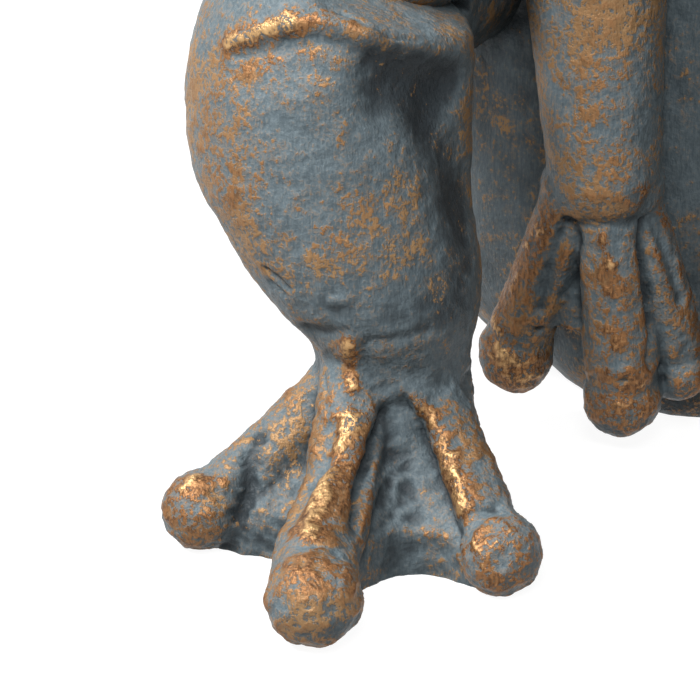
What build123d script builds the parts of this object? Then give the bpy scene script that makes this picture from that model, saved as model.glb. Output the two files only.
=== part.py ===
from build123d import *

import os
from math import cos, pi, sin

# A seated frog, cast in pieces that are pinned with dowels and glued.
# It faces -Y and sits on the floor, z = 0, with the origin under the middle of its seat.
# The left side is modelled at +X and mirrored for the right side.

# Fits shared by all joints
glue_gap = 0.3
dowel_diameter = 8.0
dowel_clearance = 0.2

# Torso, a hollow casting in a front and a back shell
torso_height = 335.0
torso_half_width = 116.0
torso_half_depth = 104.0
torso_wall = 10.0
shell_seam_y = 30.0

# Shares of torso height, half width and half depth, then the lean as a share of half depth
torso_shares = (
    (0.00, 0.72, 0.77, 0.02),
    (0.03, 0.84, 0.88, 0.02),
    (0.10, 0.94, 0.95, 0.06),
    (0.24, 1.00, 1.00, 0.08),
    (0.42, 1.00, 0.98, 0.10),
    (0.60, 0.96, 0.94, 0.10),
    (0.76, 0.90, 0.88, 0.04),
    (0.90, 0.80, 0.79, -0.08),
    (1.00, 0.70, 0.68, -0.20),
)

# Flank that sags over each thigh, from its low tip up into the torso
flank_overhang = 15.0
flank_lead = 18.0
flank_tip_height = 192.0
flank_root_drop = 43.0
flank_root_width_share = 0.57
flank_root_depth_share = 0.46
flank_radius = 37.0

# Shares of the rise from tip to root, of the flank's radius, and of the way in to the root
flank_shares = (
    (0.00, 0.20, 0.00),
    (0.05, 0.44, 0.02),
    (0.16, 0.72, 0.06),
    (0.34, 0.94, 0.14),
    (0.52, 1.00, 0.28),
    (0.72, 1.00, 0.52),
    (0.88, 0.90, 0.78),
    (1.00, 0.70, 1.00),
)

# Plate that closes the torso underneath
seat_plate_half_width = 66.0
seat_plate_half_depth = 58.0
seat_plate_thickness = 10.0
seat_ledge = 7.0
seat_clearance = 0.4

# Head, a hollow casting in a lower and an upper shell
head_height = 110.0
head_half_width = 124.0
head_half_depth = 114.0
head_wall = 9.0
mouth_height = 46.0

# Shares of head height, half width and half depth, then the reach forward as a share of half depth
head_shares = (
    (0.00, 0.654, 0.620, 0.182),
    (0.12, 0.77, 0.76, 0.34),
    (0.28, 0.93, 0.93, 0.52),
    (0.42, 1.00, 1.00, 0.58),
    (0.56, 0.97, 0.97, 0.56),
    (0.72, 0.86, 0.88, 0.48),
    (0.87, 0.66, 0.69, 0.38),
    (0.96, 0.44, 0.47, 0.32),
    (1.00, 0.20, 0.22, 0.30),
)
eye_radius = 30.0
eye_spacing = 132.0
eye_reach = 74.0
eye_rise = 90.0

# Thigh, from inside the torso to inside the knee
hip_sink = 22.0
hip_reach = 6.0
hip_height = 184.0
knee_overhang = 38.0
knee_standoff = 46.0
knee_height = 192.0
thigh_radius = 38.0
thigh_shares = ((0.0, 1.06), (0.4, 1.0), (0.75, 0.92), (1.0, 0.85))

# Calf with the knee on top, standing on the ankle
ankle_inset = 23.0
ankle_lead = 26.0
ankle_height = 66.0
ankle_half_width = 31.0
ankle_half_depth = 29.0
calf_height = 168.0
calf_half_width = 55.0
calf_half_depth = 54.0

# Shares of calf height, of the way from ankle to knee, and of the widening from ankle to calf
calf_shares = (
    (0.00, 0.00, 0.00),
    (0.10, 0.12, 0.14),
    (0.22, 0.48, 0.52),
    (0.36, 0.82, 0.82),
    (0.52, 1.00, 0.97),
    (0.68, 1.08, 1.00),
    (0.82, 1.02, 0.82),
    (0.92, 0.92, 0.36),
    (0.98, 0.84, -0.25),
    (1.00, 0.82, -0.62),
)

# Fold on the inner side of the knee, where the thigh's top drops below the knee
fold_height = 146.0
fold_inset = 6.0
fold_width = 90.0
fold_lead = 60.0
fold_length = 96.0
fold_fall_share = 0.34
fold_back_share = 0.25
fold_wall_share = 0.42

# Foot: three toes with round tips, webs between them that stand on the floor
foot_length = 107.0
foot_spread_width = 35.0
foot_spread_depth = 31.0
foot_root_height = 46.0
toe_arch = 5.0
toe_root_radius = 16.0
outer_toe_radius = 15.5
outer_toe_neck_radius = 14.0
middle_toe_radius = 17.7
middle_toe_neck_radius = 16.5
inner_toe_radius = 15.2
inner_toe_neck_radius = 13.5
toe_flat = 1.0
web_edge_height = 18.5
web_root_height = 58.0

# Shares of foot length, outwards and forwards from the ankle to each toe's tip
outer_toe_shares = (0.696, 0.252)
middle_toe_shares = (0.28, 1.0)
inner_toe_shares = (-0.374, 0.598)

# Shares of each toe that the web's edge leaves it at
outer_web_shares = (0.90, 0.42)
inner_web_shares = (0.56, 0.84)

# Arm, hanging in front of the belly
shoulder_inset = 50.0
shoulder_sink = 32.0
shoulder_drop = 39.0
shoulder_radius = 31.0
wrist_spacing = 102.0
wrist_standoff = 10.0
wrist_height = 111.0
wrist_radius = 23.0
arm_shares = ((0.0, 0.0), (0.35, 0.30), (0.7, 0.62), (1.0, 1.0))

# Hand: three fingers with round tips and webs between them
finger_length = 90.0
hand_root_radius = 17.0
finger_neck_radius = 12.5
finger_tip_radius = 14.5
inner_finger_tip_radius = 13.0
hand_web_thickness = 15.0
hand_web_shares = (0.86, 0.82)

# Shares of finger length, outwards, backwards and down from the wrist to each finger's tip
outer_finger_shares = (0.356, 0.244, 0.867)
middle_finger_shares = (-0.10, 0.0, 0.994)
inner_finger_shares = (-0.35, 0.089, 0.90)

# Dowels: where each sits at its joint, and its length
hip_dowel_length = 50.0
hip_dowel_share = 0.17
knee_dowel_length = 50.0
knee_dowel_share = 0.66
thigh_dowel_drop = 18.0
ankle_dowel_length = 60.0
wrist_dowel_length = 50.0
shoulder_dowel_length = 44.0
shoulder_dowel_drop = 28.0
neck_dowel_length = 30.0
neck_dowel_spacing = 70.0

# Points on each level section of a casting
section_points = 12

# The head stands on the torso with a film of glue between them
head_base = torso_height + glue_gap

# Places of the left side
flank_tip = Vector(torso_half_width + flank_overhang, -torso_half_depth - flank_lead, flank_tip_height)
flank_root = Vector(
    flank_root_width_share * torso_half_width,
    -flank_root_depth_share * torso_half_depth,
    torso_height - flank_root_drop,
)
eye_place = Vector(eye_spacing / 2, -eye_reach, head_base + eye_rise)
hip_place = Vector(torso_half_width - hip_sink, -hip_reach, hip_height)
knee_place = Vector(torso_half_width + knee_overhang, -torso_half_depth - knee_standoff, knee_height)
ankle_place = Vector(knee_place.X - ankle_inset, knee_place.Y - ankle_lead, ankle_height)
shoulder_place = Vector(torso_half_width - shoulder_inset, shoulder_sink - torso_half_depth, torso_height - shoulder_drop)
wrist_place = Vector(wrist_spacing / 2, -torso_half_depth - wrist_standoff, wrist_height)


def along(start, end, share):
    """Point at a share of the way from start to end."""
    return start + (end - start) * share


def blend(first, last, share):
    """Size at a share of the way from first to last."""
    return first + (last - first) * share


def cast_form(stations):
    """Body in bands between level ovals, each given as centre, half width and half depth."""
    turn = 2 * pi / section_points
    with BuildPart() as form:
        for centre, half_width, half_depth in stations:
            with BuildSketch(Plane(origin=centre)):
                with BuildLine():
                    Spline(
                        [
                            (half_width * cos(turn * i), half_depth * sin(turn * i))
                            for i in range(section_points)
                        ],
                        periodic=True,
                    )
                make_face()
        loft(ruled=True)
    return form.part


def limb(stations):
    """Round tapering body through circles, each given as centre and radius, square to its length."""
    length = stations[-1][0] - stations[0][0]
    with BuildPart() as form:
        for centre, radius in stations:
            with BuildSketch(Plane(origin=centre, z_dir=length)):
                Circle(radius)
        loft()
    return form.part


def digit(root, tip, root_radius, neck_radius, tip_radius, arch):
    """Toe or finger: a tapering stem, arched in the middle, with a ball on its end."""
    middle = along(root, tip, 1 / 2) + Vector(0, 0, arch)
    with BuildPart() as form:
        add(limb([(root, root_radius), (middle, (root_radius + neck_radius) / 2), (tip, neck_radius)]))
        with Locations(tip):
            Sphere(tip_radius)
    return form.part


def floor_web(root, first, second):
    """Web between two toes, standing on the floor and rising from its edge to the ankle."""
    slope = Plane(origin=root, x_dir=first - root, z_dir=(first - root).cross(second - root))
    upper = Keep.TOP if slope.z_dir.Z < 0 else Keep.BOTTOM
    with BuildPart() as form:
        with BuildSketch():
            with BuildLine():
                Polyline((root.X, root.Y), (first.X, first.Y), (second.X, second.Y), close=True)
            make_face()
        extrude(amount=root.Z)
        split(bisect_by=slope, keep=upper)
    return form.part


def hanging_web(root, first, second, thickness):
    """Flat web between two fingers, in the plane that they share."""
    middle = Plane(origin=root, x_dir=first - root, z_dir=(first - root).cross(second - root))
    corners = [middle.to_local_coords(point) for point in (root, first, second)]
    with BuildPart() as form:
        with BuildSketch(middle):
            with BuildLine():
                Polyline(corners, close=True)
            make_face()
        extrude(amount=thickness / 2, both=True)
    return form.part


def peg(centre, direction, length, diameter):
    """Round bar centred on a joint."""
    with BuildPart() as form:
        with BuildSketch(Plane(origin=centre, z_dir=direction)):
            Circle(diameter / 2)
        extrude(amount=length / 2, both=True)
    return form.part


def dowel(centre, direction, length):
    """Steel dowel of a joint."""
    return peg(centre, direction, length, dowel_diameter)


def bore(centre, direction, length):
    """Blind hole that takes the dowel of a joint."""
    return peg(centre, direction, length + 2 * dowel_clearance, dowel_diameter + 2 * dowel_clearance)


def flank_form(grow):
    """Rounded flank, grown all round to cut seats in its neighbours."""
    return cast_form(
        [
            (
                Vector(
                    blend(flank_tip.X, flank_root.X, lean),
                    blend(flank_tip.Y, flank_root.Y, lean),
                    blend(flank_tip.Z - grow, flank_root.Z + grow, rise),
                ),
                size * flank_radius + grow,
                size * flank_radius + grow,
            )
            for rise, size, lean in flank_shares
        ]
    )


def torso_form(grow):
    """Outer form of the torso with its flanks, grown all round to cut seats in its neighbours."""
    stations = [
        (
            Vector(0, lean * torso_half_depth, height * torso_height),
            width * torso_half_width + grow,
            depth * torso_half_depth + grow,
        )
        for height, width, depth, lean in torso_shares
    ]
    with BuildPart() as form:
        add(cast_form(stations))
        add(flank_form(grow))
        add(flank_form(grow).mirror(Plane.YZ))
    return form.part


def torso_cavity():
    """Hollow of the torso, from the top of the seat plate to the roof under the neck."""
    floor_height = seat_plate_thickness
    roof_height = torso_height - torso_wall
    seat_lean = torso_shares[0][3] * torso_half_depth
    stations = [
        (
            Vector(0, seat_lean, floor_height),
            seat_plate_half_width - seat_ledge,
            seat_plate_half_depth - seat_ledge,
        )
    ]
    for height, width, depth, lean in torso_shares[2:]:
        stations.append(
            (
                Vector(0, lean * torso_half_depth, blend(floor_height, roof_height, height)),
                width * torso_half_width - torso_wall,
                depth * torso_half_depth - torso_wall,
            )
        )
    return cast_form(stations)


def head_form(wall):
    """Form of the head above the neck, drawn in by a wall for its hollow."""
    return cast_form(
        [
            (
                Vector(0, -reach * head_half_depth, head_base + blend(wall, head_height - wall, height)),
                width * head_half_width - wall,
                depth * head_half_depth - wall,
            )
            for height, width, depth, reach in head_shares
        ]
    )


def calf_form(grow):
    """Form of the calf and knee, grown all round to cut a seat in the thigh."""
    return cast_form(
        [
            (
                Vector(
                    blend(ankle_place.X, knee_place.X, lean),
                    blend(ankle_place.Y, knee_place.Y, lean),
                    ankle_place.Z + height * calf_height,
                ),
                blend(ankle_half_width, calf_half_width, swell) + grow,
                blend(ankle_half_depth, calf_half_depth, swell) + grow,
            )
            for height, lean, swell in calf_shares
        ]
    )


def knee_fold():
    """Wedge that is taken off the inner side of the knee and the thigh, sloping down inwards and back."""
    corner = Vector(
        knee_place.X + fold_inset,
        knee_place.Y - fold_lead,
        ankle_place.Z + fold_height,
    )
    above = calf_height
    with BuildPart() as form:
        with BuildSketch(Plane(origin=corner, x_dir=(1, 0, 0), z_dir=(0, 1, -fold_back_share))):
            with BuildLine():
                Polyline(
                    (0, 0),
                    (above * fold_wall_share, -above),
                    (-fold_width, -above),
                    (-fold_width, fold_width * fold_fall_share),
                    close=True,
                )
            make_face()
        extrude(amount=fold_length)
    return form.part


def arm_form(grow):
    """Form of the arm from shoulder to wrist, grown all round to cut a seat in the thigh."""
    with BuildPart() as form:
        add(
            limb(
                [
                    (along(shoulder_place, wrist_place, way), blend(shoulder_radius, wrist_radius, taper) + grow)
                    for way, taper in arm_shares
                ]
            )
        )
        with Locations(shoulder_place):
            Sphere(shoulder_radius + grow)
    return form.part


os.makedirs("parts", exist_ok=True)

# Joint lines of the dowels on the left side
thigh_line = knee_place - hip_place
up = Vector(0, 0, 1)
forward = Vector(0, -1, 0)
thigh_drop = Vector(0, 0, thigh_dowel_drop)
hip_joint = (along(hip_place, knee_place, hip_dowel_share) - thigh_drop, thigh_line, hip_dowel_length)
knee_joint = (along(hip_place, knee_place, knee_dowel_share) - thigh_drop, thigh_line, knee_dowel_length)
ankle_joint = (ankle_place, up, ankle_dowel_length)
wrist_joint = (wrist_place, up, wrist_dowel_length)
shoulder_drop_share = shoulder_dowel_drop / (shoulder_place.Z - wrist_place.Z)
shoulder_seat = along(shoulder_place, wrist_place, shoulder_drop_share)
shoulder_joint = (shoulder_seat - forward * shoulder_radius / 2, forward, shoulder_dowel_length)
neck_lean = torso_shares[-1][3] * torso_half_depth
neck_joint = (Vector(neck_dowel_spacing / 2, neck_lean, torso_height), up, neck_dowel_length)

# Seat plate and the rebate that takes it
seat_lean = torso_shares[0][3] * torso_half_depth
seat_bottom = Vector(0, seat_lean, 0)
seat_top = Vector(0, seat_lean, seat_plate_thickness)
seat_rebate = cast_form(
    [
        (seat_bottom, seat_plate_half_width + seat_clearance, seat_plate_half_depth + seat_clearance),
        (seat_top, seat_plate_half_width + seat_clearance, seat_plate_half_depth + seat_clearance),
    ]
)
with BuildPart() as seat_plate:
    add(
        cast_form(
            [
                (seat_bottom, seat_plate_half_width, seat_plate_half_depth),
                (seat_top, seat_plate_half_width, seat_plate_half_depth),
            ]
        )
    )

# Torso shells
with BuildPart() as torso_hollow:
    add(torso_form(0))
    add(torso_cavity(), mode=Mode.SUBTRACT)
    add(seat_rebate, mode=Mode.SUBTRACT)
    for joint in (hip_joint, shoulder_joint, neck_joint):
        hole = bore(*joint)
        add(hole, mode=Mode.SUBTRACT)
        add(hole.mirror(Plane.YZ), mode=Mode.SUBTRACT)
shell_seam = Plane.XZ.offset(-shell_seam_y)
with BuildPart() as torso_front_shell:
    add(torso_hollow.part)
    split(bisect_by=shell_seam, keep=Keep.TOP)
with BuildPart() as torso_back_shell:
    add(torso_hollow.part)
    split(bisect_by=shell_seam, keep=Keep.BOTTOM)

# Head shells and eyes
with BuildPart() as left_eye:
    with Locations(eye_place):
        Sphere(eye_radius)
with BuildPart() as right_eye:
    mirror(left_eye.part, about=Plane.YZ)
with BuildPart() as head_hollow:
    add(head_form(0))
    add(head_form(head_wall), mode=Mode.SUBTRACT)
    for side in (1, -1):
        with Locations((side * eye_place.X, eye_place.Y, eye_place.Z)):
            Sphere(eye_radius + glue_gap, mode=Mode.SUBTRACT)
    hole = bore(*neck_joint)
    add(hole, mode=Mode.SUBTRACT)
    add(hole.mirror(Plane.YZ), mode=Mode.SUBTRACT)
mouth_plane = Plane.XY.offset(head_base + mouth_height)
with BuildPart() as head_lower_shell:
    add(head_hollow.part)
    split(bisect_by=mouth_plane, keep=Keep.BOTTOM)
with BuildPart() as head_upper_shell:
    add(head_hollow.part)
    split(bisect_by=mouth_plane, keep=Keep.TOP)

# Leg castings, seated against the torso
torso_seat = torso_form(glue_gap)
with BuildPart() as left_calf:
    add(calf_form(0))
    add(knee_fold(), mode=Mode.SUBTRACT)
    add(torso_seat, mode=Mode.SUBTRACT)
    add(bore(*knee_joint), mode=Mode.SUBTRACT)
    add(bore(*ankle_joint), mode=Mode.SUBTRACT)
with BuildPart() as left_thigh:
    add(limb([(along(hip_place, knee_place, way), thigh_radius * size) for way, size in thigh_shares]))
    add(torso_seat, mode=Mode.SUBTRACT)
    add(calf_form(glue_gap), mode=Mode.SUBTRACT)
    add(knee_fold(), mode=Mode.SUBTRACT)
    add(arm_form(glue_gap), mode=Mode.SUBTRACT)
    add(bore(*hip_joint), mode=Mode.SUBTRACT)
    add(bore(*knee_joint), mode=Mode.SUBTRACT)

# Foot
def toe_tip(shares, radius):
    """Centre of a toe's round tip, which is cut flat on the floor."""
    out, ahead = shares
    return Vector(
        ankle_place.X + out * foot_length,
        ankle_place.Y - ahead * foot_length,
        radius - toe_flat,
    )


outer_toe_place = toe_tip(outer_toe_shares, outer_toe_radius)
middle_toe_place = toe_tip(middle_toe_shares, middle_toe_radius)
inner_toe_place = toe_tip(inner_toe_shares, inner_toe_radius)
toes = (
    (outer_toe_place, outer_toe_neck_radius, outer_toe_radius),
    (middle_toe_place, middle_toe_neck_radius, middle_toe_radius),
    (inner_toe_place, inner_toe_neck_radius, inner_toe_radius),
)
toe_root = Vector(ankle_place.X, ankle_place.Y, foot_root_height)
web_root = Vector(ankle_place.X, ankle_place.Y, web_root_height)


def web_corner(tip, share):
    """Point on the web's edge beside a toe."""
    point = along(web_root, tip, share)
    return Vector(point.X, point.Y, web_edge_height)


with BuildPart() as left_foot:
    add(
        cast_form(
            [
                (Vector(ankle_place.X, ankle_place.Y, 0), foot_spread_width, foot_spread_depth),
                (toe_root, foot_spread_width, foot_spread_depth),
                (ankle_place, ankle_half_width, ankle_half_depth),
            ]
        )
    )
    for tip, neck_radius, radius in toes:
        add(digit(toe_root, tip, toe_root_radius, neck_radius, radius, toe_arch))
    for first, second, shares in (
        (outer_toe_place, middle_toe_place, outer_web_shares),
        (middle_toe_place, inner_toe_place, inner_web_shares),
    ):
        add(floor_web(web_root, web_corner(first, shares[0]), web_corner(second, shares[1])))
    split(bisect_by=Plane.XY, keep=Keep.TOP)
    add(bore(*ankle_joint), mode=Mode.SUBTRACT)

# Arm and hand, parted by a level cut at the wrist
wrist_plane = Plane.XY.offset(wrist_place.Z)
with BuildPart() as left_arm:
    add(arm_form(0))
    add(torso_seat, mode=Mode.SUBTRACT)
    split(bisect_by=wrist_plane, keep=Keep.TOP)
    add(bore(*wrist_joint), mode=Mode.SUBTRACT)
    add(bore(*shoulder_joint), mode=Mode.SUBTRACT)
fingers = [
    (wrist_place + Vector(out, back, -down) * finger_length, radius)
    for (out, back, down), radius in (
        (outer_finger_shares, finger_tip_radius),
        (middle_finger_shares, finger_tip_radius),
        (inner_finger_shares, inner_finger_tip_radius),
    )
]
with BuildPart() as left_hand:
    with Locations(wrist_place):
        Sphere(wrist_radius)
    for tip, radius in fingers:
        add(digit(wrist_place, tip, hand_root_radius, finger_neck_radius, radius, 0))
    for first, second in ((0, 1), (1, 2)):
        add(
            hanging_web(
                wrist_place,
                along(wrist_place, fingers[first][0], hand_web_shares[0]),
                along(wrist_place, fingers[second][0], hand_web_shares[1]),
                hand_web_thickness,
            )
        )
    split(bisect_by=wrist_plane, keep=Keep.BOTTOM)
    add(bore(*wrist_joint), mode=Mode.SUBTRACT)

# Pieces in one place each
pieces = {
    "torso_front_shell": torso_front_shell,
    "torso_back_shell": torso_back_shell,
    "seat_plate": seat_plate,
    "head_lower_shell": head_lower_shell,
    "head_upper_shell": head_upper_shell,
    "left_eye": left_eye,
    "right_eye": right_eye,
}
for name, piece in pieces.items():
    piece.part.label = name
    export_step(piece.part, f"parts/{name}.step")

# Limbs in left and right pairs
for name, left in (
    ("thigh", left_thigh),
    ("calf", left_calf),
    ("foot", left_foot),
    ("arm", left_arm),
    ("hand", left_hand),
):
    with BuildPart() as right:
        mirror(left.part, about=Plane.YZ)
    left.part.label = f"left_{name}"
    right.part.label = f"right_{name}"
    export_step(left.part, f"parts/left_{name}.step")
    export_step(right.part, f"parts/right_{name}.step")

# Dowels, a left and a right one in each group
for name, joint in (
    ("neck_dowels", neck_joint),
    ("shoulder_dowels", shoulder_joint),
    ("wrist_dowels", wrist_joint),
    ("hip_dowels", hip_joint),
    ("knee_dowels", knee_joint),
    ("ankle_dowels", ankle_joint),
):
    with BuildPart() as pair:
        add(dowel(*joint))
        mirror(about=Plane.YZ)
    pair.part.label = name
    export_step(pair.part, f"parts/{name}.step")
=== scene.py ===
"""Looks of a seated frog figurine: a casting in slate paint, rubbed through to bronze on its ridges."""

from __future__ import annotations

import logging
import math
from dataclasses import dataclass
from enum import Enum

import bpy
import numpy as np
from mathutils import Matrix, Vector, noise
from mathutils.bvhtree import BVHTree


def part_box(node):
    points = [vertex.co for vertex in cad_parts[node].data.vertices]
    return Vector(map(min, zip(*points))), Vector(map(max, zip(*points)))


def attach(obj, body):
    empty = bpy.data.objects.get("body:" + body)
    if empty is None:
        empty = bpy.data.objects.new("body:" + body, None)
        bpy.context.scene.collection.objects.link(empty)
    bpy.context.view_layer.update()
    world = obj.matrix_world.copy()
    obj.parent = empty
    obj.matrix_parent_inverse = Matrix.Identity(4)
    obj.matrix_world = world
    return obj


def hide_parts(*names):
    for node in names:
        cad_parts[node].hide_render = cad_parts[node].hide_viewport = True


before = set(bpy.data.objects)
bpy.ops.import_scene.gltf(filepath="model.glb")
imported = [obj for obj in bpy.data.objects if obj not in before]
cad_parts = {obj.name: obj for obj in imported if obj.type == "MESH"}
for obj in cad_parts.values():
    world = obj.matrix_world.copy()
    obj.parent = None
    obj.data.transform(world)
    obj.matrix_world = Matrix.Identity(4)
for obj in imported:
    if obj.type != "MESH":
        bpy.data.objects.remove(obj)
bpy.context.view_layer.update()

MM = 0.001
# How near a cutting plane a point counts as on it, in metres
CUT_M = 1e-6
SMOOTH_ANGLE_DEG = 50
# How quickly a mark fades where the surface turns away from it
FACING_GAIN = 1.6
# Fall-off, spacing, layers, offset and gain of the creases, their least strength and how softly they fade
CREASE_PATTERN = (0.9, 2.1, 3, 1.0, 2.0)
CREASE_LEAST = 0.3
CREASE_FADE_MM = 5
# Wear of what stands proud of its near and far surroundings: rounds of averaging, height and share
NEAR_ROUNDS, NEAR_GAIN, NEAR_SHARE = 14, 1.3, 0.45
FAR_ROUNDS, FAR_MM, FAR_SHARE = 160, 3.2, 0.75
BALL_SEGMENTS = 48
OVAL_SEGMENTS = 64
PLATE_SEGMENTS = 96
Socket = bpy.types.NodeSocket
Bends = tuple[tuple[float, float, float, float], ...]
Grains = tuple[tuple[float, float], ...]
log = logging.getLogger("frog")


class Side(Enum):
    """The frog's own right and left, as the sign of X."""

    RIGHT = -1
    LEFT = 1

    @property
    def word(self) -> str:
        """Name of the side in the model's node names."""
        return self.name.lower()


def mm(x: float, y: float, z: float) -> Vector:
    """A point given in millimetres, in metres."""
    return Vector((x, y, z)) * MM


def linear(hex_colour: str) -> tuple[float, float, float, float]:
    """Turn an sRGB hex colour into linear light.

    Args:
        hex_colour: Six hex digits after a hash sign.

    Returns:
        Linear red, green and blue, and an alpha of one.
    """
    parts = [int(hex_colour[i : i + 2], 16) / 255 for i in (1, 3, 5)]
    red, green, blue = (p / 12.92 if p <= 0.04045 else ((p + 0.055) / 1.055) ** 2.4 for p in parts)
    return (red, green, blue, 1.0)


@dataclass(frozen=True)
class PhotoView:
    """The camera, set where the photograph was taken from."""

    elevation_deg: float = 24.0
    aim_mm: tuple[float, float, float] = (-148.0, -175.0, 70.0)
    distance_mm: float = 1600.0
    mm_per_pixel: float = 0.385
    pixels: float = 700.0
    sensor_mm: float = 36.0

    def axes(self) -> tuple[Vector, Vector, Vector]:
        """Find how the picture lies in space.

        Returns:
            Its right, up and forward directions.
        """
        lift = math.radians(self.elevation_deg)
        forward = Vector((0, math.cos(lift), -math.sin(lift)))
        up = Vector((0, math.sin(lift), math.cos(lift)))
        return Vector((1, 0, 0)), up, forward

    def eye(self) -> Vector:
        """Place of the camera in metres."""
        return mm(*self.aim_mm) - self.axes()[2] * self.distance_mm * MM

    def ray(self, pixel: tuple[float, float]) -> Vector:
        """Find the direction in which the camera sees a pixel of the photograph.

        Args:
            pixel: Its place across and down.

        Returns:
            The direction, of length one.
        """
        right, up, forward = self.axes()
        middle = self.pixels / 2
        across = (pixel[0] - middle) * self.mm_per_pixel
        above = (middle - pixel[1]) * self.mm_per_pixel
        return (forward * self.distance_mm + right * across + up * above).normalized()

    def build(self) -> bpy.types.Object:
        """Add the camera to the scene.

        Returns:
            The camera object.
        """
        data = bpy.data.cameras.new("photo_camera")
        data.sensor_width = self.sensor_mm
        data.lens = self.sensor_mm * self.distance_mm / (self.pixels * self.mm_per_pixel)
        camera = bpy.data.objects.new("photo_camera", data)
        bpy.context.scene.collection.objects.link(camera)
        camera.location = self.eye()
        camera.rotation_euler = self.axes()[2].to_track_quat("-Z", "Y").to_euler()
        bpy.context.scene.camera = camera
        return camera


VIEW = PhotoView()


@dataclass(frozen=True)
class Oval:
    """A level oval section of a form, in millimetres."""

    height: float
    x: float
    y: float
    half_width: float
    half_depth: float

    def row(self) -> np.ndarray:
        """The section's numbers as one row."""
        return np.array((self.height, self.x, self.y, self.half_width, self.half_depth))


def faired(ovals: list[Oval], steps: int = 4) -> list[Oval]:
    """Add sections between the given ones, on a smooth curve through them.

    Args:
        ovals: Sections from the lowest to the highest.
        steps: How many spans each gap is divided into.

    Returns:
        The denser list of sections.
    """
    rows = [oval.row() for oval in ovals]
    rows = [2 * rows[0] - rows[1], *rows, 2 * rows[-1] - rows[-2]]
    dense = []
    for before, start, end, after in zip(rows, rows[1:], rows[2:], rows[3:]):
        for step in range(steps):
            t = step / steps
            pull = (end - before) * t + (2 * before - 5 * start + 4 * end - after) * t * t
            curl = (3 * start - before - 3 * end + after) * t**3
            dense.append(Oval(*(start + (pull + curl) / 2)))
    return [*dense, ovals[-1]]


@dataclass(frozen=True)
class Stroke:
    """A line, pressed into the clay or raised on it, where the photograph shows one.

    The line is given in pixels of the photograph and laid on the form under them. Rub says how much the
    paint is worn off along it; below nought it darkens the paint instead, as painted shade.
    """

    pixels: tuple[tuple[float, float], ...]
    width_mm: float
    raise_mm: float
    rub: float = 0.0


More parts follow.
